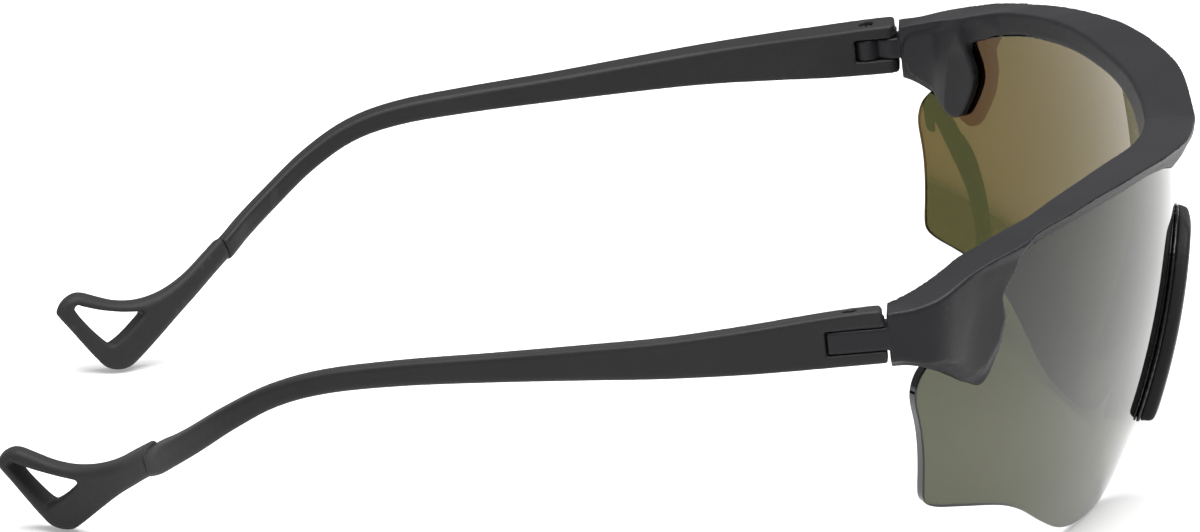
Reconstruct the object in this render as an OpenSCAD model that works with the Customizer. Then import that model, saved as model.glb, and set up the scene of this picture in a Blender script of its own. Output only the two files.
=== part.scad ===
// Glacier glasses: one-piece wrap-around lens in a half-rim front, two folding temples with
// open soft ends, and a clip-in nose piece.
// X is across the face (the wearer's left is +X), the front faces -Y, Z is up.
// Z = 0 is the table the glasses stand on with the temples open.

/* [Lens] */
// full width of the lens across the face
lens_w = 137; // [120:1:150]
// radius of the lens's outer face, a six-base curve
lens_r = 86.5; // [75:0.5:110]
// thickness of the lens
lens_t = 1.6; // [1.4:0.1:2.4]
// height of the lens's curve centre above the table
lens_cz = 35.5; // [30:0.5:40]
// distance of the lens's curve centre behind the middle of the glasses
lens_cy = 9.3; // [5:0.1:15]
// height of the top of the nose cut-out in the lens
nose_top = 34.5; // [30:0.5:38]
// half the width of the nose cut-out at its foot
nose_half = 14.4; // [11:0.1:18]

/* [Front frame] */
// height of the bar's top edge at the middle
bar_top = 49.4; // [46:0.2:54]
// how far the bar's crest stands out of the lens's outer face
bar_crest = 3.4; // [2:0.1:5]
// radius of the bar's back face in plan
bar_back_r = 92; // [85:0.5:100]
// depth of the lens's top edge in the bar
slot_depth = 2.2; // [1.2:0.1:3]
// thickness of the outer flap over the lens
flap_out_t = 1.7; // [1:0.1:3]
// thickness of the inner flap behind the lens
flap_in_t = 1.5; // [1:0.1:3]

/* [Hinges] */
// distance of each hinge pin from the middle plane
hinge_x = 73.2; // [65:0.1:80]
// front to back place of the hinge pins
hinge_y = -34.2; // [-40:0.1:-30]
// height of the hinge's middle knuckle
hinge_z = 39.2; // [36:0.1:42]
// backward lean of the hinge pins, in degrees
hinge_lean = 6; // [0:0.5:12]
// width of the temple and end piece at the hinge
hinge_w = 4.6; // [4:0.1:6]
// height of the middle knuckle
tongue_h = 3.0; // [2:0.1:4]
// gap between the end piece and the temple's knuckles
hinge_gap = 0.4; // [0.4:0.1:1.2]
// radius of the screw's shank
screw_r = 0.7; // [0.6:0.05:0.9]
// radius of the screw's head
head_r = 1.0; // [0.9:0.05:1.3]
// slope of the temple's top and bottom faces, higher on the outside, in degrees
arm_roll = 6; // [0:1:12]
// radial play between the middle knuckle and the screw
pin_play = 0.05; // [0.02:0.01:0.1]

/* [Temples] */
// thickness of the temple behind the hinge
arm_t = 4.4; // [3:0.1:5]
// thickness of the temple at the seam with the soft end
seam_t = 3.0; // [2.4:0.1:4]
// thickness of the soft end
tip_t = 3.6; // [3:0.1:5]
// lean of the soft end, its lower edge towards the head, in degrees
tip_roll = 9; // [0:1:15]
// length of the temple's tang inside the soft end
tang_l = 7; // [4:0.5:9]

/* [Hidden] */
ring_fn = 160;
round_fn = 40;
fit = 0.06;
sx = lens_w / 137;
gap_y = -4.6;
tongue_back = 2.2;
knuckle_top = 3.85;
knuckle_low = -3.5;

// a smooth curve through hand-picked points: n steps for each span
function cr(a, b, c, d, t) = 0.5 * (2 * b + (c - a) * t + (2 * a - 5 * b + 4 * c - d) * t * t
    + (3 * b - a - 3 * c + d) * t * t * t);
function at(p, i) = p[min(max(i, 0), len(p) - 1)];
function smooth(p, n) = concat([for (i = [0:len(p) - 2]) for (k = [0:n - 1])
    cr(at(p, i - 1), p[i], p[i + 1], at(p, i + 2), k / n)], [p[len(p) - 1]]);
function rev(p) = [for (i = [len(p) - 1:-1:0]) p[i]];
// the same half outline mirrored across the middle, with the points on the middle kept once
function both(p) = concat(p, [for (q = rev(p)) if (q[0] > 0.01) [-q[0], q[1]]]);
// a curve moved sideways by d(i), to its left
function away(p, i) = let (t = at(p, i + 1) - at(p, i - 1)) [-t[1], t[0]] / norm(t);
function aside(p, d) = [for (i = [0:len(p) - 1]) p[i] + away(p, i) * (is_list(d) ? d[i] : d)];

// lens outline seen from the front, from the middle of the top to the middle of the cut-out
lens_top = [[0, bar_top - 6.4 + slot_depth], [15, 47.6], [28, 49.6], [38, 49.5], [49, 48.4],
    [57, 46.8], [62, 44.9], [66.5, 42.2], [71.5, 38.6]];
lens_low = [[71.5, 14.5], [67.4, 14.3], [65, 13.8], [63, 13], [60, 12.2], [54, 10.4], [49.5, 8.4],
    [43.4, 4.9], [37, 1.9], [31, 0.4], [25, 0], [20, 0.2], [16.6, 1.5]];
lens_edge = [[61.8, 50], [62.4, 46], [63.4, 41.4], [64.8, 38], [66.4, 36.2], [67.8, 34.7], [68.7, 33], [69.1, 31.2],
    [69, 29], [67.8, 24.5], [66.3, 18.5], [65.4, 15.2], [64.5, 12.3], [63.9, 10.3]];
nose_cut = [[16.6, 1.5], [nose_half + 0.2, 4.6], [nose_half - 0.5, 10], [12.4, 18], [10.2, 25],
    [7.2, 31], [3.8, nose_top - 0.9], [0, nose_top]];
function wide(p) = [for (q = p) [q[0] * sx, q[1]]];
top_line = smooth(wide(lens_top), 3);
cut_line = smooth(wide(nose_cut), 3);
lens_half = concat(top_line, smooth(wide(lens_low), 3), cut_line);
// the side edges are cut square to the lens's curved face: u runs along the face there
edge_a = 37.2;
function on_lens(q) = lens_cy - sqrt(lens_r * lens_r - q[0] * q[0] - pow(q[1] - lens_cz, 2));
function turned(q) = sin(edge_a) * q[0] + cos(edge_a) * on_lens(q);

module front_extrude(p) rotate([90, 0, 0]) linear_extrude(height = 95) polygon(p);
module ball(r) translate([0, lens_cy, lens_cz]) sphere(r = r, $fn = ring_fn);
module shell(ro, ri) difference() { ball(ro); ball(ri); }
function clean(p) = [for (i = [0:len(p) - 1]) if (i == 0 || norm(p[i] - p[i - 1]) > 0.02) p[i]];

module beyond_edge(d) for (m = [0, 1]) mirror([m, 0, 0])
    rotate([0, 0, 90 - edge_a]) rotate([90, 0, 0]) linear_extrude(height = 120)
        polygon(concat([for (q = smooth(wide(lens_edge), 3)) [turned(q) + d, q[1]]],
            [[40, 10.3], [40, 50]]));

module lens() color([0.45, 0.48, 0.42, 0.6]) difference() {
    intersection() {
        shell(lens_r, lens_r - lens_t);
        front_extrude(both(clean(lens_half)));
    }
    beyond_edge(0);
}

// bar: upper and lower edge seen from the front
bar_up = [[0, bar_top], [10, bar_top + 0.8], [18, 51.1], [29, 51.8], [38, 52], [49, 51.4],
    [58, 50], [66, 48], [70.7, 46.4], [74, 44.9], [77, 43.4]];
bar_low = [[77, 40], [70, 40.5], [64, 42.7], [59, 44.6], [51, 46.8], [42, 47.8], [33, 48],
    [25, 47.6], [16, 46.1], [8, 44], [0, bar_top - 6.3]];
// top and underside of the bar and end pieces seen from the side
side_up = [[-84, 52.6], [-70, 52], [-64, 51.2], [-60, 50.5], [-56.3, 49.5], [-53.1, 48.6],
    [-50, 47.4], [-46.7, 46], [-42.5, 44.1], [-39, 43.1], [-36, 42.6]];
side_low = [[-36, 36.6], [-40, 36.6], [-42.6, 36.1], [-44.4, 35.2], [-46.3, 33.8], [-48, 32], [-50, 28]];
// bar: front crest in plan
bar_front = [[0, lens_cy - lens_r - bar_crest + 0.5], [18, -78.5], [29.6, -75.6], [42, -70.1], [49, -66],
    [58, -59.6], [65.6, -53.2], [70.7, -48.7], [73.6, -46.2], [75.1, -43], [75.5, -39.2]];
// end piece in plan, and flaps seen from the front
flap_out = [[61, 46], [62.5, 43.8], [62.6, 42], [61.9, 39], [61.7, 36.6], [62.5, 33.6], [63.5, 31],
    [64.3, 30.3], [65.3, 30.8], [67.8, 32.8], [70.4, 34.7], [73, 35.7], [78, 36]];
flap_in = [[59.3, 47], [58.9, 43], [58.2, 39.6], [58.7, 36], [59.6, 33], [60.7, 31.9], [62, 32.3],
    [64, 34.2], [65.6, 36.3], [66.6, 38.2], [66.6, 40.4], [65.4, 43.6]];

module plan_extrude(p, z0, z1) translate([0, 0, z0]) linear_extrude(height = z1 - z0) polygon(p);

module side_view(p) translate([-100, 0, 0]) rotate([90, 0, 90]) linear_extrude(height = 200) polygon(p);
module bar_body() intersection() {
    plan_extrude(both(smooth(wide(bar_front), 3)), 30, 54);
    front_extrude(both(concat(smooth(wide(bar_up), 3), smooth(wide(bar_low), 3))));
    side_view(concat(smooth(side_up, 3), [[-36, 20], [-84, 20]]));
    // the front face falls back to the lens below the crest
    translate([0, lens_cy, 0]) rotate_extrude($fn = ring_fn)
        polygon([[60, 28], [lens_r + 0.4, 28], [lens_r + 0.5, 45.6], [lens_r + 1.2, 47.1],
            [lens_r + 2.8, 49], [lens_r + 4.7, 51.2], [lens_r + 5.6, 52.3], [lens_r + 5.6, 56], [60, 56]]);
    difference() {
        translate([-100, -100, 20]) cube([200, 100, 40]);
        translate([0, -72.9 + bar_back_r, 10]) cylinder(r = bar_back_r, h = 60, $fn = ring_fn);
    }
}

// end piece: turns back from the bar to the hinge and ends square to the hinge
module end_block() difference() {
    intersection() {
        plan_extrude(concat(smooth([[65.6, -53.2], [70.7, -48.7], [73.6, -46.2], [75.1, -43], [75.5, -39.2],
            [75.5, -36.5]], 3), smooth([[70.9, -36.5], [70.4, -40.9], [69, -42.8], [67, -44.9],
            [63.5, -47.5]], 3)), 28, 54);
        side_view(concat(smooth(side_up, 3), smooth(side_low, 3), [[-84, 28]]));
        front_extrude([[60, 53], [77, 53], [77, 36], [73, 35.9], [70.4, 34.8], [67.6, 33.4], [64, 34.5],
            [60, 40]]);
    }
    at_hinge() translate([-9, gap_y - hinge_gap / 2, -12]) cube([20, 12, 24]);
}

module flaps() intersection() {
    side_view(concat(smooth(side_up, 3), [[-36, 20], [-84, 20]]));
    union() {
        intersection() {
            shell(lens_r + flap_out_t, lens_r - 0.5);
            front_extrude(concat(smooth(flap_out, 3), [[72, 46], [62, 48]]));
            translate([50, -70, 28]) cube([24, 31 - 0.4, 22]);
        }
        intersection() {
            shell(lens_r - 0.5, lens_r - lens_t - flap_in_t);
            front_extrude(concat(smooth(flap_in, 3), [[63, 46.4]]));
            translate([50, -70, 28]) cube([24, 31 - 0.4, 22]);
        }
    }
}

// everything at a hinge is drawn in the hinge's own frame: Z along the pin, Y to the back
module at_hinge() translate([hinge_x, hinge_y, hinge_z]) rotate([-hinge_lean, 0, 0]) children();
module flat(p, z0, z1) translate([0, 0, z0]) linear_extrude(height = z1 - z0) polygon(p);

// middle knuckle: squared outer half, round about the pin on the inside so it can turn
module tongue() at_hinge() difference() {
    union() {
        cylinder(r = tongue_back, h = tongue_h, center = true, $fn = round_fn);
        flat([[hinge_w / 2, gap_y - 2.2], [hinge_w / 2, 3.19], [-0.76, 2.06], [-0.76, 0], [-1.5, -1.62],
            [-2.3, -3.2], [-2.3, gap_y - 2.2]], -tongue_h / 2, tongue_h / 2);
    }
    cylinder(r = screw_r + pin_play, h = 9, center = true, $fn = round_fn);
}

module lens_side_room() difference() {
    translate([-90, -90, 10]) cube([180, 90, 50]);
    beyond_edge(fit);
}

module front_frame() color([0.2, 0.2, 0.21]) difference() {
    union() {
        bar_body();
        for (s = [0, 1]) mirror([s, 0, 0]) { end_block(); flaps(); tongue(); }
    }
    // slot for the lens, open below
    intersection() {
        shell(lens_r + fit, lens_r - lens_t - fit);
        front_extrude(both(concat([for (q = top_line) [q[0] * 1.002, q[1] + fit]],
            [[71.6, 20], [0, 20]])));
        lens_side_room();
    }
}

// nose piece: strips that follow the cut-out, in from its edge by a and out over the lens by b
function arch(a, b, z0) = let (c = [for (q = cut_line) if (q[1] > z0) q])
    concat(both(aside(c, -b)), rev(both(aside(c, a))));
module strip(a, b, ro, ri, z0) intersection() {
    shell(ro, ri);
    front_extrude(arch(a, b, z0));
}

module nose_carrier() color([0.05, 0.05, 0.055]) difference() {
    strip(0.9, 2.3, lens_r + 0.8, lens_r - lens_t - 0.8, 9.5);
    strip(fit, 9, lens_r + fit, lens_r - lens_t - fit, 3);
}

module nose_pad() color([0.1, 0.1, 0.1]) difference() {
    union() {
        strip(1.9, 1.9, lens_r + 2.1, lens_r - lens_t - 2, 9.6);
        strip(2.3, 2.9, lens_r - lens_t - 0.8 - fit, lens_r - lens_t - 3.2, 11);
    }
    strip(0.9 + fit, 9, lens_r + 0.8 + fit, lens_r - lens_t - 0.8 - fit, 3);
}

// temple: stations from the hinge to the seam: place of the middle, width and height
arm_st = [[73.2, -39, 39.8, hinge_w, 7.1], [73.2, -34, 39.2, hinge_w, 7], [73.4, -28, 38.4, hinge_w, 6.6],
    [73.9, -20, 37.4, arm_t, 5.8], [73.7, -10, 36.2, arm_t - 0.2, 4.9], [72.1, 0, 35, arm_t - 0.4, 4.1],
    [69.9, 12, 33.5, 3.7, 3.5], [67.9, 24, 32, 3.5, 3.1], [66.5, 34, 30.3, 3.4, 2.9],
    [65.2, 41, 27.9, 3.3, 2.8], [62.7, 47, 24, seam_t + 0.1, 2.8], [58.4, 52.2, 19.5, seam_t, 2.9],
    [54.2, 55.8, 16.3, seam_t, 3.0], [49.8, 58.4, 13.9, seam_t, 3.1], [45.6, 62.4, 11.3, seam_t, 3.2]];
seam_at = [49.8, 58.4, 13.9];
// soft end: middle line in plan, outline and opening seen from the side
tip_line = [[54.4, 55.6], [49.8, 58.4], [46.9, 60.5], [43.6, 63.2], [40.1, 67.2], [37.2, 72.4], [35.2, 78],
    [33.8, 83]];
tip_up = [[57.5, 17.4], [60.9, 14.3], [63.4, 12.1], [65.6, 10.7], [67.9, 9.8], [70.4, 9.4], [73, 9.6],
    [75.4, 10.3], [77.6, 11], [79, 10.9], [80.3, 10], [80.9, 8.8], [80.4, 7.9], [79.1, 6.4], [77.2, 4.1],
    [75.3, 1.9], [73.8, 0.5], [72.2, 0], [70.6, 0.3], [69.2, 1.4], [67, 3.6], [64, 6.7], [61.4, 9.2],
    [58.8, 11.7], [55.5, 14.6]];
// opening, in the soft end's own plane: along it to the rear, and up
hole_at = [37.4, 72.6, 6.5];
hole_turn = 24.4;
hole = [[6.2, 2.7], [5.6, 1.7], [4.2, -0.1], [2.6, -1.8], [1.5, -2.7], [0.8, -2.7], [-0.8, -1.6],
    [-2.5, -0.1], [-3.6, 1], [-3.5, 1.4], [-2.4, 1.5], [-0.3, 1.7], [2.4, 2.2], [4.8, 2.9], [5.7, 3.2]];

module side_extrude(p) rotate([90, 0, 90]) linear_extrude(height = 100) polygon(p);
function slice(p, a) = [for (i = [a:len(p) - 1]) p[i]];
function band(line, t) = concat(aside(line, [for (i = [0:len(line) - 1]) -t[i] / 2]),
    rev(aside(line, [for (i = [0:len(line) - 1]) t[i] / 2])));
tip_pts = smooth(tip_line, 3);

// temple body: a strip in plan crossed with a strip seen from the side, both through the stations
arm_all = smooth(arm_st, 3);
module arm_body() intersection() {
    plan_extrude(band([for (q = arm_all) [q[0], q[1]]], [for (q = arm_all) q[3]]), 0, 50);
    rotate([0, -arm_roll, 0]) side_extrude(rev(band([for (q = arm_all)
        [q[1], q[2] * cos(arm_roll) - q[0] * sin(arm_roll)]], [for (q = arm_all) q[4]])));
}
// the half of space behind the seam, square to the temple there
module behind_seam(d) translate(seam_at) rotate([0, 116.7, 137.7]) translate([-20, -20, d]) cube([40, 40, 60]);

module temple() difference() {
    union() {
        difference() {
            arm_body();
            behind_seam(0);
        }
        // flat tang inside the soft end
        translate(seam_at) rotate([0, 116.7, 137.7]) rotate([0, 0, 90]) translate([-1.1, -0.8, -1])
            cube([2.2, 1.6, 1 + tang_l - 2]);
    }
    hinge_cuts();
}

module hinge_cuts() at_hinge() {
    // slot for the middle knuckle, open to the front and to both sides
    flat([[5, gap_y - 5], [5, 4.52], [-5, 0.82], [-5, gap_y - 5]], -tongue_h / 2 - fit, tongue_h / 2 + fit);
    // knuckles end short of the end piece, with the inner corner eased so it clears while folding
    translate([-5, -12, -9]) cube([10, 12 + gap_y + hinge_gap / 2, 18]);
    translate([0, gap_y + hinge_gap / 2, 0]) flat([[-1.3, -0.1], [-2.5, 1.1], [-6, 1.1], [-6, -9],
        [-1.3, -9]], -9, 9);
    // screw: head pocket, shank and threaded insert
    cylinder(r = screw_r + 0.03, h = 12, center = true, $fn = round_fn);
    translate([0, 0, knuckle_top - 1.9]) cylinder(r = head_r + 0.04, h = 4, $fn = round_fn);
    translate([0, 0, knuckle_low - 2]) cylinder(r = 1.15, h = 2 + 1.5, $fn = round_fn);
}

// the soft end leans about the temple's own line
module tip_lean() translate(seam_at) rotate(a = tip_roll, v = [-11.8, 13.6, -8.9]) translate(-seam_at) children();

module tip() difference() {
    intersection() {
        tip_lean() plan_extrude(band(tip_pts, [for (i = [0:len(tip_pts) - 1]) tip_t - 0.5 * max(0, 1 - i / 12)]),
            -4, 24);
        side_extrude(smooth(tip_up, 3));
        behind_seam(0.08);
    }
    translate(hole_at) rotate([0, 0, hole_turn]) rotate([0, tip_roll, 0]) translate([-20, 0, 0])
        rotate([90, 0, 90]) linear_extrude(height = 40) polygon(smooth(concat(hole, [hole[0]]), 3));
    translate(seam_at) rotate([0, 116.7, 137.7]) rotate([0, 0, 90]) translate([-1.1 - fit, -0.8 - fit, -1])
        cube([2.2 + 2 * fit, 1.6 + 2 * fit, 1.1 + tang_l - 2]);
}

module screw() at_hinge() difference() {
    union() {
        translate([0, 0, knuckle_low + 0.2]) cylinder(r = screw_r, h = knuckle_top - knuckle_low - 2, $fn = round_fn);
        translate([0, 0, knuckle_top - 1.9]) cylinder(r = head_r, h = 1.1, $fn = round_fn);
    }
    translate([-2, -0.2, knuckle_top - 1.3]) cube([4, 0.4, 1]);
}

module insert() at_hinge() difference() {
    translate([0, 0, knuckle_low + 0.1]) cylinder(r = 1.1, h = 1.35, $fn = round_fn);
    cylinder(r = screw_r + 0.02, h = 12, center = true, $fn = round_fn);
}

module temple_left() color([0.22, 0.22, 0.23]) temple();
module temple_right() color([0.22, 0.22, 0.23]) mirror([1, 0, 0]) temple();
module temple_tip_left() color([0.3, 0.3, 0.31]) tip();
module temple_tip_right() color([0.3, 0.3, 0.31]) mirror([1, 0, 0]) tip();
module hinge_screw_left() color([0.5, 0.5, 0.5]) screw();
module hinge_screw_right() color([0.5, 0.5, 0.5]) mirror([1, 0, 0]) screw();
module hinge_insert_left() color([0.7, 0.6, 0.3]) insert();
module hinge_insert_right() color([0.7, 0.6, 0.3]) mirror([1, 0, 0]) insert();

front_frame();
lens();
nose_carrier();
nose_pad();
temple_left();
temple_right();
temple_tip_left();
temple_tip_right();
hinge_screw_left();
hinge_screw_right();
hinge_insert_left();
hinge_insert_right();
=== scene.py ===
"""Looks of the glacier glasses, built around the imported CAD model. Lengths in the shapes are in mm."""

import bpy
import numpy as np
import openvdb
from mathutils import Matrix, Vector
from mathutils.geometry import delaunay_2d_cdt


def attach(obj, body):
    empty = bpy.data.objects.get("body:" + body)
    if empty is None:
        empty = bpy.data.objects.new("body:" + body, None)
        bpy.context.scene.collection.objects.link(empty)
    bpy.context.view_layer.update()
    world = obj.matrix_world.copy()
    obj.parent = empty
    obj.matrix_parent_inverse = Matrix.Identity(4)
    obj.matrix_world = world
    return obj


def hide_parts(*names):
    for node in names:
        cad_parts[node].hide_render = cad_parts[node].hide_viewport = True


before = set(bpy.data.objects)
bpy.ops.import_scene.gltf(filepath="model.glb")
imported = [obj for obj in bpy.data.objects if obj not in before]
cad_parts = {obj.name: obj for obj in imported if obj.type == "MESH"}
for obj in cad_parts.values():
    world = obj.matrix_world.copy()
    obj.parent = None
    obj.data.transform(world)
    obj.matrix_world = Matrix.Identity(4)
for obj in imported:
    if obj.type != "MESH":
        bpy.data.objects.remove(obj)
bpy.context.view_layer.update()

MM = 0.001
# lens: centre (on the middle plane), radius of the outer face, thickness, room round it in its slot
CY, CZ, R, T = 9.3, 35.5, 86.5, 1.6
LENS_GAP = 0.05
# flaps: how far they stand out from the two faces of the lens, and where they end at the back
FLAP_OUT, FLAP_IN, FLAP_END = 1.6, 1.4, -38
# hinge: middle of the pin, backward lean, joint line in front of it, half the joint's gap, half the width
HINGE = np.array([73.2, -34.2, 39.2])
LEAN = np.radians(6)
GAP_Y, GAP, HINGE_HALF = -4.6, 0.15, 2.3
# middle knuckle: half height and round radius; slot around it in the temple: half height
TONGUE_HALF, TONGUE_R, SLOT_HALF = 1.5, 2.2, 1.62
# soft end: where it meets the temple, which way it runs from there, what it leans about, its opening
SEAM = np.array([49.8, 58.4, 13.9])
SEAM_DIR = np.array([-0.6607, 0.6012, -0.4493])
TIP_AXIS = np.array([-11.8, 13.6, -8.9])
HOLE = np.array([37.4, 72.6, 6.5])
# temple: roll about its own line
ROLL = np.radians(6)


# ---------------------------------------------------------------- curves and distance fields
def smooth(points, n=5):
    """A smooth curve through given points."""
    p = np.array(points, float)
    out = []
    for i in range(len(p) - 1):
        a, b, c, d = p[max(i - 1, 0)], p[i], p[i + 1], p[min(i + 2, len(p) - 1)]
        for k in range(n):
            t = k / n
            out.append(0.5 * (2 * b + (c - a) * t + (2 * a - 5 * b + 4 * c - d) * t ** 2
                              + (3 * b - a - 3 * c + d) * t ** 3))
    out.append(p[-1])
    return np.array(out)


def both(p):
    """A half outline and its mirror image."""
    p = np.asarray(p)
    return np.concatenate([p, (p * [-1, 1])[::-1]])


def aside(p, d):
    """A curve moved sideways by d, to its left."""
    t = np.gradient(p[:, :2], axis=0)
    t /= np.linalg.norm(t, axis=1)[:, None]
    return p[:, :2] + np.stack([-t[:, 1], t[:, 0]], 1) * np.asarray(d)[..., None]


def band(middle, width):
    """The outline of a strip with this middle line."""
    return np.concatenate([aside(middle, -width / 2), aside(middle, width / 2)[::-1]])


class Field:
    """Signed distance to a closed outline, held on a grid and read bilinearly."""

    def __init__(self, outline, h=0.16, pad=3.0, xmin=None):
        p = np.asarray(outline, float)
        lo, hi = p.min(0) - pad, p.max(0) + pad
        if xmin is not None:
            lo[0] = xmin
        n = np.ceil((hi - lo) / h).astype(int) + 1
        x, y = np.meshgrid(lo[0] + h * np.arange(n[0]), lo[1] + h * np.arange(n[1]), indexing="ij")
        d = np.full(x.shape, 1e9)
        inside = np.zeros(x.shape, bool)
        for a, b in zip(p, np.roll(p, -1, 0)):
            e = b - a
            if e @ e < 1e-10:
                continue
            t = np.clip(((x - a[0]) * e[0] + (y - a[1]) * e[1]) / (e @ e), 0, 1)
            d = np.minimum(d, (x - a[0] - t * e[0]) ** 2 + (y - a[1] - t * e[1]) ** 2)
            if a[1] != b[1]:
                inside ^= ((a[1] > y) != (b[1] > y)) & (x < (b[0] - a[0]) * (y - a[1]) / (b[1] - a[1]) + a[0])
        self.g = (np.where(inside, -1, 1) * np.sqrt(d)).astype(np.float32)
        self.lo, self.h, self.n = lo, h, n

    def __call__(self, x, y):
        u = (x - self.lo[0]) / self.h
        v = (y - self.lo[1]) / self.h
        uc = np.clip(u, 0, self.n[0] - 1.001)
        vc = np.clip(v, 0, self.n[1] - 1.001)
        i, j = uc.astype(np.int32), vc.astype(np.int32)
        s, t = uc - i, vc - j
        g = self.g
        d = (g[i, j] * (1 - s) + g[i + 1, j] * s) * (1 - t) + (g[i, j + 1] * (1 - s) + g[i + 1, j + 1] * s) * t
        return d + self.h * np.hypot(u - uc, v - vc)


def rmax(r, *f):
    """Where all the shapes overlap, with edges rounded to r."""
    m = f[0]
    for g in f[1:]:
        m = np.maximum(m, g)
    q = sum(np.maximum(g + r, 0) ** 2 for g in f)
    return np.minimum(m, -r) + np.sqrt(q)


def rmin(r, a, b):
    """Both shapes together, with a fillet of r between them."""
    return np.maximum(np.minimum(a, b), r) - np.sqrt(np.maximum(r - a, 0) ** 2 + np.maximum(r - b, 0) ** 2)


def line(points):
    """A value that follows given points smoothly."""
    p = smooth(points)
    return lambda x: np.interp(x, p[:, 0], p[:, 1])


def placed(name, data):
    """A new object in the scene."""
    o = bpy.data.objects.new(name, data)
    bpy.context.scene.collection.objects.link(o)
    return o


def skin(name, f, lo, hi, h, mirror=False):
    """The surface where f is zero, as a mesh object in metres, from cubes of size h."""
    lo, hi = np.array(lo, float), np.array(hi, float)
    n = np.ceil((hi - lo) / h).astype(int) + 1
    ax = [lo[k] + h * np.arange(n[k]) for k in range(3)]
    vol = np.empty(n, np.float32)
    for i in range(0, n[0], 32):
        x, y, z = np.meshgrid(ax[0][i:i + 32], ax[1], ax[2], indexing="ij")
        vol[i:i + 32] = np.clip(f(x, y, z), -3 * h, 3 * h)
    grid = openvdb.FloatGrid(3 * h)
    grid.copyFromArray(vol)
    pts, quads = grid.convertToQuads(0.0)
    p = np.array(pts, float) * h + lo
    e = 0.02
    for _ in range(3):  # onto the exact surface
        d = f(p[:, 0], p[:, 1], p[:, 2])
        g = np.stack([f(*(p + e * k).T) - f(*(p - e * k).T) for k in np.eye(3)], 1) / (2 * e)
        move = g * (d / np.maximum((g * g).sum(1), 0.25))[:, None]
        size = np.linalg.norm(move, axis=1)
        p -= move * np.minimum(1, 0.3 * h / np.maximum(size, 1e-9))[:, None]
    q = np.array(quads, int)
    a, b, c, d = (p[q[:, k]] for k in range(4))
    if np.einsum("ij,ij->i", a, np.cross(b, c) + np.cross(c, d)).sum() < 0:
        q = q[:, ::-1]
    if mirror:
        p = p * [-1, 1, 1]
        q = q[:, ::-1]
    me = bpy.data.meshes.new(name)
    me.vertices.add(len(p))
    me.vertices.foreach_set("co", (p * MM).astype(np.float32).ravel())
    me.loops.add(4 * len(q))
    me.loops.foreach_set("vertex_index", q.astype(np.int32).ravel())
    me.polygons.add(len(q))
    me.polygons.foreach_set("loop_start", np.arange(0, 4 * len(q), 4, dtype=np.int32))
    me.polygons.foreach_set("loop_total", np.full(len(q), 4, np.int32))
    me.polygons.foreach_set("use_smooth", np.ones(len(q), bool))
    me.update()
    me.validate()
    return placed(name, me)


# ---------------------------------------------------------------- shapes on the lens
def on_face(p):
    """Front-view points of the lens's outer face, as distances along it."""
    p = np.asarray(p, float)
    x, z = p[:, 0], p[:, 1]
    y = np.sqrt(R * R - x * x - (z - CZ) ** 2)
    return np.stack([R * np.arctan2(x, y), R * np.arcsin((z - CZ) / R)], 1)


def face(x, y, z):
    """Distances along and out of the lens's outer face."""
    a, f, w = np.abs(x), CY - y, z - CZ
    rho = np.sqrt(a * a + f * f + w * w)
    return R * np.arctan2(a, f), R * np.arcsin(w / rho), rho - R


lens_top = smooth([[0, 45.2], [15, 47.6], [28, 49.6], [38, 49.5], [49, 47.8], [57, 45.9], [62.4, 43.8]])
lens_edge = smooth([[62.4, 43.8], [63.4, 41.4], [64.8, 38.2], [66.4, 36.2], [67.7, 34.7], [68.7, 33],
                    [69.1, 31.2], [69, 29], [67.8, 24.5], [66.3, 18.5], [65.5, 15.6], [64.8, 14.1],
                    [63.2, 13.1], [60, 12.2], [54, 10.5], [49.5, 8.5], [43.4, 5], [37, 2], [31, 0.5],
                    [25, 0.15], [20, 0.35], [17.2, 1.3], [15.2, 3.4]])
nose_cut = smooth([[15.2, 3.4], [14.4, 6.6], [13.9, 10], [12.4, 18], [10.2, 25], [7.2, 31],
                   [3.8, 33.6], [0, 34.5]])
lens_outline = both(on_face(np.concatenate([lens_top, lens_edge, nose_cut])))
lens_field = Field(lens_outline, xmin=-2)
cut_field = Field(both(on_face(np.concatenate([[[15.6, 0.0]], nose_cut]))), xmin=-2)


def spread(p, step):
    """Points evenly spaced along a closed outline."""
    q = np.concatenate([p, p[:1]])
    keep = np.concatenate([[True], np.linalg.norm(np.diff(q, axis=0), axis=1) > 1e-6])
    q = q[keep]
    far = np.concatenate([[0], np.cumsum(np.linalg.norm(np.diff(q, axis=0), axis=1))])
    at = np.linspace(0, far[-1], int(far[-1] / step), endpoint=False)
    return np.stack([np.interp(at, far, q[:, 0]), np.interp(at, far, q[:, 1])], 1)


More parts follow.
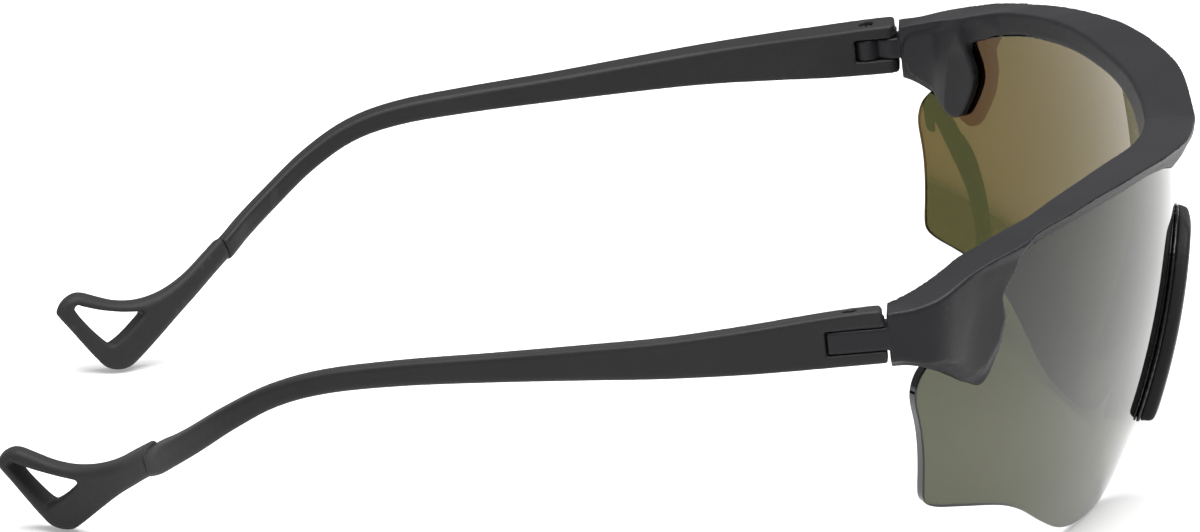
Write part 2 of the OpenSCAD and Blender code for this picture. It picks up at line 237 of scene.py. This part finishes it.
def lens_mesh():
    """The lens: two smooth faces and an eased edge cut square to them."""
    edge = spread(lens_outline, 0.5)
    for _ in range(2):  # ease the corners
        edge = 0.25 * np.roll(edge, 1, 0) + 0.5 * edge + 0.25 * np.roll(edge, -1, 0)
    t = np.roll(edge, -1, 0) - np.roll(edge, 1, 0)
    inward = np.stack([-t[:, 1], t[:, 0]], 1) / np.linalg.norm(t, axis=1)[:, None]
    if np.sum(edge[:, 0] * np.roll(edge[:, 1], -1) - np.roll(edge[:, 0], -1) * edge[:, 1]) < 0:
        inward = -inward
    # e is the easing of the edge, k the number of points along it
    e, k = 0.28, len(edge)
    ring = edge + inward * e
    gx, gy = np.meshgrid(np.arange(-84, 84.1, 1.4), np.arange(-38, 16, 1.4), indexing="ij")
    pts = np.stack([gx.ravel(), gy.ravel()], 1)
    pts = pts[lens_field(np.abs(pts[:, 0]), pts[:, 1]) < -e - 0.8]
    flat = [Vector(p) for p in np.concatenate([ring, pts])]
    v, _, faces, *_ = delaunay_2d_cdt(flat, [(i, (i + 1) % k) for i in range(k)], [], 1, 1e-5)
    v = np.array([tuple(q) for q in v])
    tri = np.array([f[:3] for f in faces])
    low = 1 - np.sqrt(0.5)
    # rows of points round the edge: how far in, how far out, and the normal's share sideways and outwards
    rows = [(low * e, -low * e, 0.7, 0.7), (0, -e, 1, 0), (0, e - T, 1, 0), (low * e, low * e - T, 0.7, -0.7)]
    n = len(v)

    def place(q, s):
        """Places at distances q along the outer face and s out of it, and the way out there."""
        lon, lat = q[:, 0] / R, q[:, 1] / R
        out = np.stack([np.sin(lon) * np.cos(lat), -np.cos(lon) * np.cos(lat), np.sin(lat)], 1)
        return np.array([0, CY, CZ]) + out * (R + s), out

    p0, n0 = place(v, 0)
    p1, _ = place(v, -T)
    pos, nor = [p0, p1], [n0, -n0]
    away = place(edge - inward * 0.1, 0)[0] - place(edge, 0)[0]
    away /= np.linalg.norm(away, axis=1)[:, None]
    for d, s, side, face_out in rows:
        q, out = place(edge + inward * d, s)
        pos.append(q)
        m = away * side + out * face_out
        nor.append(m / np.linalg.norm(m, axis=1)[:, None])
    pos, nor = np.concatenate(pos), np.concatenate(nor)
    a, b, c = p0[tri[:, 0]], p0[tri[:, 1]], p0[tri[:, 2]]
    back = np.einsum("ij,ij->i", np.cross(b - a, c - a), n0[tri[:, 0]]) < 0
    tri[back] = tri[back][:, ::-1]
    i = np.arange(k)
    j = (i + 1) % k
    order = [0, 2 * n, 2 * n + k, 2 * n + 2 * k, 2 * n + 3 * k, n]
    quads = np.concatenate([np.stack([a + i, a + j, b + j, b + i], 1) for a, b in zip(order, order[1:])])
    a, b, c = pos[quads[:, 0]], pos[quads[:, 1]], pos[quads[:, 2]]
    if np.einsum("ij,ij->i", np.cross(b - a, c - b), nor[quads[:, 0]]).sum() < 0:
        quads = quads[:, ::-1]
    polys = [tuple(f) for f in tri] + [tuple(f[::-1] + n) for f in tri] + [tuple(f) for f in quads]
    me = bpy.data.meshes.new("Lens")
    me.from_pydata((pos * MM).tolist(), [], [[int(i) for i in f] for f in polys])
    me.polygons.foreach_set("use_smooth", np.ones(len(me.polygons), bool))
    me.normals_split_custom_set_from_vertices(nor.astype(np.float32))
    return placed("Lens", me), len(tri), 2 * len(tri)


def lens_room(u, v, s):
    """The slot the lens sits in."""
    return np.maximum(lens_field(u, v) - LENS_GAP, np.abs(s + T / 2) - T / 2 - LENS_GAP)


# ---------------------------------------------------------------- front frame
def local(x, y, z):
    """Places from a hinge pin, in its own frame."""
    c, s = np.cos(LEAN), np.sin(LEAN)
    dy, dz = y - HINGE[1], z - HINGE[2]
    return np.abs(x) - HINGE[0], c * dy - s * dz, s * dy + c * dz


# crest and inner edge of the bar, from the middle to the hinge, and its underside seen from the front
bar_out = np.array([[0, -80, 49.4], [18.2, -78.6, 51.2], [29.6, -75.6, 51.8], [36.4, -72.8, 52],
                    [42.1, -70.1, 51.9], [48.7, -66.1, 51.4], [54, -62.8, 50.7], [57.9, -59.6, 50],
                    [62.2, -56.3, 48.9], [65.6, -53.1, 48], [68, -50.8, 47.2], [70.7, -48.7, 46.3],
                    [73.2, -46.7, 45.3], [74.6, -44.8, 44.5], [75.2, -42.3, 43.7], [75.4, -39.1, 43.1],
                    [75.4, -36, 42.8]])
bar_in = np.array([[0, -72.9, 48.9], [8.7, -72.3, 49.6], [19.4, -70.5, 50.4], [32.1, -66.3, 51.1],
                   [40.6, -62.9, 51.1], [47.1, -59.6, 50.6], [52.7, -56.3, 49.7], [56.5, -53.1, 48.9],
                   [59.8, -49.9, 47.6], [64.2, -46.7, 46], [67, -44.9, 45.1], [69, -42.8, 44.2],
                   [70.3, -40.9, 43.5], [70.9, -38.8, 42.9], [70.9, -36, 42.6]])
bar_low = smooth([[0, 43.1], [8, 44], [16, 46.1], [25, 47.6], [33, 48], [42, 47.8], [51, 46.8],
                  [59, 44.6], [64, 42.7], [69, 40.5]])


def by_angle(p):
    """Radius and height about the lens's upright axis, against the angle from the middle."""
    q = smooth(p)
    return np.degrees(np.arctan2(q[:, 0], CY - q[:, 1])), np.hypot(q[:, 0], CY - q[:, 1]), q[:, 2]


out_a, out_r, out_z = by_angle(bar_out)
in_a, in_r, in_z = by_angle(bar_in)
low_r = np.sqrt(R * R - (bar_low[:, 1] - CZ) ** 2)
low_a = np.degrees(np.arcsin(bar_low[:, 0] / low_r))
plan = Field(np.concatenate([(smooth(bar_out)[1:25, :2] * [-1, 1])[::-1], smooth(bar_out)[:, :2],
                             smooth(bar_in)[::-1, :2], smooth(bar_in)[1:25, :2] * [-1, 1]]), xmin=-3)
# end piece: underside seen from the side, outline seen from the front
end_low = line([[-52, 24], [-50, 28], [-48, 31.6], [-46.3, 33.8], [-44.4, 35.2], [-42.6, 36.1], [-40, 36.6],
                [-36, 36.6]])
end_face = Field([[61, 53], [78, 53], [78, 36.2], [73, 35.9], [70.6, 34.9], [68.6, 33.6], [66.4, 32.6], [65, 33],
                  [63.4, 36], [62.8, 39], [63.4, 42], [62, 45]])
# flaps outside and inside the lens, as outlines on its outer face
flap_out = Field(on_face(smooth([[58.6, 47], [60.8, 44.8], [61.4, 43.1], [61.2, 41.2], [60.5, 38.9],
                                 [60.4, 36.8], [61.1, 34], [62, 31.4], [62.9, 30.3], [64, 30.7],
                                 [66, 32.4], [68.4, 34.1], [71, 35.4], [75, 36.2], [76, 44],
                                 [68, 47.5], [58.6, 47]])))
flap_in = Field(on_face(smooth([[62, 48], [62.8, 46], [62.7, 44.2], [62.2, 42.4], [61.5, 40], [61.4, 37.8],
                                [61.9, 35.6], [62.8, 33], [63.4, 32], [64.6, 31.7], [66.4, 33.5], [68, 35.3],
                                [70, 36.6], [70.4, 41], [67, 46], [62, 48]])))


def frame_shape(x, y, z):
    """Bar, end pieces, flaps and middle knuckles, in one moulding."""
    a = np.abs(x)
    u, v, s = face(x, y, z)
    ang = np.degrees(np.arctan2(a, CY - y))
    r = np.hypot(a, CY - y)
    rc, zc = np.interp(ang, out_a, out_r), np.interp(ang, out_a, out_z)
    ri, zi = np.interp(ang, in_a, in_r), np.interp(ang, in_a, in_z)
    rl, z_low = np.interp(ang, low_a, low_r), np.interp(ang, low_a, bar_low[:, 1])
    top = z - (zi + (zc - zi) * np.clip((r - ri) / (rc - ri), 0, 1))
    p = plan(a, y)
    # below the crest the front face falls back to the lens
    t = (z - z_low) / np.maximum(zc - z_low, 1)
    mid = np.clip(1 - ang / 16, 0, 1)
    mid = mid * mid * (3 - 2 * mid)
    q = mid * np.interp(t, [0, 0.28, 0.68, 1], [0.06, 0.42, 0.88, 1]) + (1 - mid) * np.interp(
        t, [0, 0.25, 0.5, 0.75, 1], [0.03, 0.14, 0.36, 0.68, 1])
    front = 0.75 * (r - (rl + 0.25 + (rc - rl - 0.25) * q))
    # the front of the underside sits higher than its back
    zf = np.interp(a, [0, 8, 16, 25, 33], [44.7, 45.3, 46.7, 47.8, 48])
    low = z_low + np.maximum(zf - z_low, 0) * np.clip((r - rl) / 1.2, 0, 1)
    bar = rmax(0.45, p, top, front, low - z)
    # the end piece stands on the lens and widens to the crest near the hinge
    r_lens = np.sqrt(np.maximum((R + FLAP_OUT) ** 2 - (z - CZ) ** 2, 1))
    w = np.clip((ang - 44) / 10, 0, 1)
    t2 = np.clip((z - 31) / np.maximum(zc - 31, 1), 0, 1)
    w = 1 - (1 - w * w * (3 - 2 * w)) * (1 - t2 ** 1.25)
    end_front = 0.8 * (r - (r_lens + (rc - r_lens) * w))
    end = rmax(0.6, p, top, end_low(y) - z, end_face(a, z), end_front)
    fo = rmax(0.35, flap_out(u, v), s - FLAP_OUT, -s - 0.6, y - FLAP_END, top)
    inside = z - (zi - 0.3 - 0.8 * np.maximum(ri - r, 0))
    fi = rmax(0.4, flap_in(u, v), s + 1.0, -s - T - FLAP_IN, y - FLAP_END, inside)
    d = rmin(2.4, rmin(2.2, bar, end), rmin(0.2, fo, fi))
    d = np.maximum(d, np.maximum(top, p - 1.7))
    d = np.maximum(d, -lens_room(u, v, s))
    xl, yl, zl = local(x, y, z)
    d = rmax(0.2, d, yl - (GAP_Y - GAP))
    # middle knuckle: square outside, round inside, and cut back where the folded temple's slot comes
    back = 0.938 * (yl - (2.34 + 0.37 * xl))
    tongue = rmax(0.22, back, np.abs(xl) - HINGE_HALF, np.abs(zl) - TONGUE_HALF, GAP_Y - 0.5 - yl)
    taper = 0.452 * (yl + 1.62) - 0.892 * (xl + 1.5)
    inner = np.where(xl < -0.76, np.minimum(np.hypot(xl, yl) - TONGUE_R, taper), -9)
    return np.minimum(d, np.maximum(tongue, inner))


# ---------------------------------------------------------------- temples and soft ends
# temple stations: place of the middle, width and height
arm_st = smooth([[73.2, -39, 39.8, 4.6, 7.1], [73.2, -34, 39.2, 4.6, 7], [73.4, -28, 38.4, 4.6, 6.6],
                 [73.9, -20, 37.4, 4.4, 5.9], [73.7, -10, 36.2, 4.2, 5.0], [72.1, 0, 35, 4, 4.3],
                 [69.9, 12, 33.5, 3.7, 3.6], [67.9, 24, 32, 3.5, 3.2], [66.5, 34, 30.3, 3.4, 3.0],
                 [65.2, 41, 27.9, 3.4, 2.9], [62.7, 47, 24, 3.3, 3.0], [58.4, 52.2, 19.5, 3.2, 3.1],
                 [54.2, 55.8, 16.3, 3.2, 3.2], [49.8, 58.4, 13.9, 3.2, 3.3], [45.6, 62.4, 11.3, 3.2, 3.4]])
arm_plan = Field(band(arm_st[:, :2], arm_st[:, 3]))
side_line = np.stack([arm_st[:, 1], arm_st[:, 2] * np.cos(ROLL) - arm_st[:, 0] * np.sin(ROLL)], 1)
arm_side = Field(band(side_line, arm_st[:, 4]))


def past_seam(x, y, z):
    """Distance behind the seam between temple and soft end."""
    return (x - SEAM[0]) * SEAM_DIR[0] + (y - SEAM[1]) * SEAM_DIR[1] + (z - SEAM[2]) * SEAM_DIR[2]


def arm_shape(x, y, z):
    """A temple with its two outer knuckles, the slot between them and the screw's holes."""
    r = np.interp(y, [-38, -20, 0, 30], [0.45, 0.55, 0.7, 0.8])
    zr = z * np.cos(ROLL) - x * np.sin(ROLL)
    d = rmax(r, arm_plan(x, y), arm_side(y, zr))
    d = rmax(0.25, d, past_seam(x, y, z))
    xl, yl, zl = local(x, y, z)
    # the inner corner is round, so that it clears the end piece while folding
    d = np.maximum(d, np.where(yl < -1.6, rmax(1.5, -xl - HINGE_HALF, GAP_Y + GAP - yl), -9))
    d = rmax(np.where(zl > 2.2, 1.0, 0.25), d, GAP_Y + GAP - yl)
    slot = np.maximum(0.938 * (yl - (2.6 + 0.37 * xl)), np.abs(zl) - SLOT_HALF)
    d = rmax(0.18, d, -slot)
    hole = np.hypot(xl, yl)
    d = rmax(0.1, d, -np.maximum(hole - 1.05, 1.95 - zl))
    return rmax(0.1, d, -np.maximum(hole - 1.12, zl + 2.0))


# soft end: middle line in plan, outline seen from the side, opening in its own plane
tip_line = smooth([[54.4, 55.6], [49.8, 58.4], [46.9, 60.5], [43.6, 63.2], [40.1, 67.2], [37.2, 72.4], [35.2, 78],
                   [33.8, 83]])
tip_plan = Field(band(tip_line, np.interp(np.arange(len(tip_line)), [0, 5, 20], [3.2, 3.3, 3.7])))
tip_out = Field(smooth([[57.5, 17.4], [60.9, 14.3], [63.4, 12.1], [65.6, 10.7], [67.9, 9.8],
                        [70.4, 9.4], [73, 9.6], [75.4, 10.3], [77.6, 11], [79, 10.9], [80.3, 10],
                        [80.9, 8.8], [80.4, 7.9], [79.1, 6.4], [77.2, 4.1], [75.3, 1.9], [73.8, 0.5],
                        [72.2, 0.05], [70.6, 0.3], [69.2, 1.4], [67, 3.6], [64, 6.7], [61.4, 9.2],
                        [58.8, 11.7], [55.5, 14.6]]), pad=8)
hole_out = Field(smooth([[6.2, 2.7], [5.6, 1.7], [4.2, -0.1], [2.6, -1.8], [1.5, -2.7], [0.8, -2.7],
                         [-0.8, -1.6], [-2.5, -0.1], [-3.6, 1], [-3.5, 1.4], [-2.4, 1.5],
                         [-0.3, 1.7], [2.4, 2.2], [4.8, 2.9], [5.7, 3.2], [6.2, 2.7]]), h=0.08)
TIP_ROLL, HOLE_TURN = np.radians(9), np.radians(24.4)
LEAN_TIP = np.array(Matrix.Rotation(-TIP_ROLL, 3, Vector(TIP_AXIS)))
HOLE_IN = np.array((Matrix.Rotation(HOLE_TURN, 3, "Z") @ Matrix.Rotation(TIP_ROLL, 3, "Y")).transposed())


def turned(m, x, y, z, c):
    """Places turned by m about c, as seen from c."""
    p = [x - c[0], y - c[1], z - c[2]]
    return [m[k][0] * p[0] + m[k][1] * p[1] + m[k][2] * p[2] for k in range(3)]


def tip_shape(x, y, z):
    """A soft end with its opening."""
    q = turned(LEAN_TIP, x, y, z, SEAM)
    d = rmax(1.2, tip_plan(q[0] + SEAM[0], q[1] + SEAM[1]), tip_out(y, z))
    d = rmax(0.3, d, 0.06 - past_seam(x, y, z))
    h = turned(HOLE_IN, x, y, z, HOLE)
    return rmax(0.8, d, -hole_out(h[1], h[2]))


# ---------------------------------------------------------------- nose piece
def carrier_shape(x, y, z):
    """The clip on the edge of the nose cut-out."""
    u, v, s = face(x, y, z)
    d = cut_field(u, v)
    f = rmax(0.2, d - 2.1, -0.9 - d, s - 0.55, -s - T - 0.6, 10.4 - z)
    return np.maximum(f, -np.maximum(0.04 - d, np.abs(s + T / 2) - T / 2 - 0.04))


def pad_shape(x, y, z):
    """The soft strip over the clip."""
    u, v, s = face(x, y, z)
    d = cut_field(u, v)
    f = rmax(0.6, d - 2.0, -1.9 - d, s - 2.3, -s - T - 3.0, 10.5 - z, z - (36.6 - 0.8 * s))
    return np.maximum(f, -np.maximum(-0.93 - d, np.abs(s + T / 2) - T / 2 - 0.58))


H = 0.3     # size of the cubes the surfaces are found with
lens, inner_from, inner_to = lens_mesh()
front = skin("Front_frame", frame_shape, (-78, -82, 29), (78, -29.5, 54), H)
carrier = skin("Nose_carrier", carrier_shape, (-18, -80, 8), (18, -68, 39), H * 0.8)
pad = skin("Nose_pad", pad_shape, (-18, -82, 8), (18, -68, 39), H * 0.8)
arms, tips = [], []
for m, tag in ((False, "left"), (True, "right")):
    arms.append(skin("Temple_" + tag, arm_shape, (44, -41, 8), (78, 65, 45), H, mirror=m))
    tips.append(skin("Temple_tip_" + tag, tip_shape, (28, 52, -2), (58, 84, 20), H * 0.8, mirror=m))


# ---------------------------------------------------------------- materials
def material(name):
    """A new material, its nodes and its main shader."""
    m = bpy.data.materials.new(name)
    m.use_nodes = True
    return m, m.node_tree, m.node_tree.nodes["Principled BSDF"]


def noise(nt, scale, detail):
    """Noise fixed to the object."""
    tc = nt.nodes.new("ShaderNodeTexCoord")
    n = nt.nodes.new("ShaderNodeTexNoise")
    n.inputs["Scale"].default_value = scale
    n.inputs["Detail"].default_value = detail
    n.inputs["Roughness"].default_value = 0.6
    nt.links.new(tc.outputs["Object"], n.inputs["Vector"])
    return n


def ramp(nt, src, stops):
    """A blend between two colours, each with its place."""
    r = nt.nodes.new("ShaderNodeValToRGB")
    for element, (place, colour) in zip(r.color_ramp.elements, stops):
        element.position, element.color = place, (*colour, 1)
    nt.links.new(src, r.inputs["Fac"])
    return r


def moulded(name, dark, light, rough, grain, bump, spec):
    """Moulded plastic or rubber: fine grain, uneven sheen and slightly paler worn edges."""
    m, nt, b = material(name)
    big = noise(nt, 90, 4)
    col = ramp(nt, big.outputs["Fac"], ((0.35, dark), (0.7, light)))
    geo = nt.nodes.new("ShaderNodeNewGeometry")
    edge = ramp(nt, geo.outputs["Pointiness"], ((0.52, (0, 0, 0)), (0.62, (1, 1, 1))))
    mix = nt.nodes.new("ShaderNodeMix")
    mix.data_type = "RGBA"
    nt.links.new(edge.outputs["Color"], mix.inputs["Factor"])
    nt.links.new(col.outputs["Color"], mix.inputs["A"])
    mix.inputs["B"].default_value = (*[c * 1.35 for c in light], 1)
    nt.links.new(mix.outputs["Result"], b.inputs["Base Color"])
    fine = noise(nt, grain, 2)
    rr = ramp(nt, fine.outputs["Fac"], ((0.3, (rough - 0.05,) * 3), (0.7, (rough + 0.07,) * 3)))
    nt.links.new(rr.outputs["Color"], b.inputs["Roughness"])
    bp = nt.nodes.new("ShaderNodeBump")
    bp.inputs["Strength"].default_value = bump
    bp.inputs["Distance"].default_value = 0.00006
    nt.links.new(fine.outputs["Fac"], bp.inputs["Height"])
    nt.links.new(bp.outputs["Normal"], b.inputs["Normal"])
    b.inputs["Specular IOR Level"].default_value = spec
    return m


def dress(o, mat, body, nodes):
    """Gives a piece its material and body, and hides the nodes it replaces."""
    o.data.materials.clear()
    o.data.materials.append(mat)
    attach(o, body)
    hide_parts(*nodes)


frame_mat = moulded("frame_plastic", (0.007, 0.007, 0.0085), (0.0095, 0.0095, 0.0112), 0.48, 5200, 0.35, 0.22)
arm_mat = moulded("temple_plastic", (0.0095, 0.0095, 0.0102), (0.0125, 0.0125, 0.0135), 0.55, 5200, 0.35, 0.24)
tip_mat = moulded("tip_rubber", (0.014, 0.014, 0.015), (0.018, 0.018, 0.019), 0.62, 4200, 0.5, 0.22)
pad_mat = moulded("nose_rubber", (0.006, 0.006, 0.007), (0.01, 0.01, 0.011), 0.6, 4200, 0.4, 0.3)
car_mat = moulded("carrier_plastic", (0.004, 0.004, 0.004), (0.007, 0.007, 0.007), 0.14, 3000, 0.05, 0.5)


def tinted(name, spec_tint):
    """Smoked lens: tint that drifts a little, faint smears, and a coating colour at square-on view."""
    m, nt, b = material(name)
    b.inputs["Transmission Weight"].default_value = 1.0
    b.inputs["IOR"].default_value = 1.65
    b.inputs["Specular Tint"].default_value = (*spec_tint, 1)
    soft = noise(nt, 14, 2)
    tint = ramp(nt, soft.outputs["Fac"], ((0.3, (0.046, 0.0475, 0.019)), (0.7, (0.051, 0.0525, 0.021))))
    nt.links.new(tint.outputs["Color"], b.inputs["Base Color"])
    smear = noise(nt, 60, 4)
    rr = ramp(nt, smear.outputs["Fac"], ((0.45, (0.0, 0.0, 0.0)), (0.8, (0.04, 0.04, 0.04))))
    nt.links.new(rr.outputs["Color"], b.inputs["Roughness"])
    return m


dress(lens, tinted("lens_outer", (0.6, 0.63, 0.66)), "front", ["lens"])
lens.data.materials.append(tinted("lens_inner", (0.85, 0.42, 0.1)))
for f in lens.data.polygons[inner_from:inner_to]:
    f.material_index = 1
dress(front, frame_mat, "front", ["front_frame"])
dress(carrier, car_mat, "front", ["nose_carrier"])
dress(pad, pad_mat, "front", ["nose_pad"])
for o, t, side in zip(arms, tips, ("left", "right")):
    dress(o, arm_mat, "temple_" + side[0], ["temple_" + side])
    dress(t, tip_mat, "temple_" + side[0], ["temple_tip_" + side])


def metal(name, dark, light, rough):
    """Worn metal with an uneven sheen."""
    m, nt, b = material(name)
    n = noise(nt, 1500, 4)
    c = ramp(nt, n.outputs["Fac"], ((0.3, dark), (0.7, light)))
    nt.links.new(c.outputs["Color"], b.inputs["Base Color"])
    rr = ramp(nt, n.outputs["Fac"], ((0.3, (rough - 0.08,) * 3), (0.7, (rough + 0.1,) * 3)))
    nt.links.new(rr.outputs["Color"], b.inputs["Roughness"])
    b.inputs["Metallic"].default_value = 1.0
    return m


steel = metal("screw_steel", (0.2, 0.2, 0.21), (0.3, 0.3, 0.31), 0.35)
brass = metal("insert_brass", (0.55, 0.4, 0.17), (0.68, 0.52, 0.24), 0.32)
for name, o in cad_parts.items():
    if name.startswith("hinge_screw") or name.startswith("hinge_insert"):
        o.data.materials.clear()
        o.data.materials.append(steel if "screw" in name else brass)

# ---------------------------------------------------------------- stage, light and camera
bpy.ops.mesh.primitive_plane_add(size=6, location=(0, 0, -0.0004))
floor = bpy.context.object
floor.name = "Floor"
fm, nt, b = material("floor")
b.inputs["Base Color"].default_value = (0.66, 0.66, 0.66, 1)
b.inputs["Roughness"].default_value = 0.9
b.inputs["Emission Color"].default_value = (1, 1, 1, 1)
b.inputs["Emission Strength"].default_value = 0.3
floor.data.materials.append(fm)

world = bpy.data.worlds.new("studio")
world.use_nodes = True
world.node_tree.nodes["Background"].inputs["Color"].default_value = (1, 1, 1, 1)
world.node_tree.nodes["Background"].inputs["Strength"].default_value = 0.42
bpy.context.scene.world = world


def softbox(name, place, target, size, power):
    """A square soft light turned to its target."""
    d = bpy.data.lights.new(name, "AREA")
    d.shape = "RECTANGLE"
    d.size, d.size_y = size
    d.energy = power
    o = placed(name, d)
    o.location = place
    o.rotation_euler = (Vector(target) - Vector(place)).to_track_quat("-Z", "Y").to_euler()


softbox("Top_light", (-0.1, -0.05, 0.9), (0, 0, 0.03), (0.9, 0.9), 20)

view = bpy.data.cameras.new("Photo_view")
view.sensor_width = 36
view.lens = 241.6
view.clip_start, view.clip_end = 0.01, 10
cam = placed("Photo_view", view)
right = Vector((0.04608, -0.99893, 0))
fwd = Vector((0.95878, 0.04423, -0.28067))
up = right.cross(fwd)
cam_turn = Matrix((right, up, -fwd)).transposed().to_4x4()
cam.matrix_world = Matrix.Translation((-1.0628, -0.0475, 0.338)) @ cam_turn
bpy.context.scene.camera = cam
bpy.context.scene.view_settings.view_transform = "Standard"
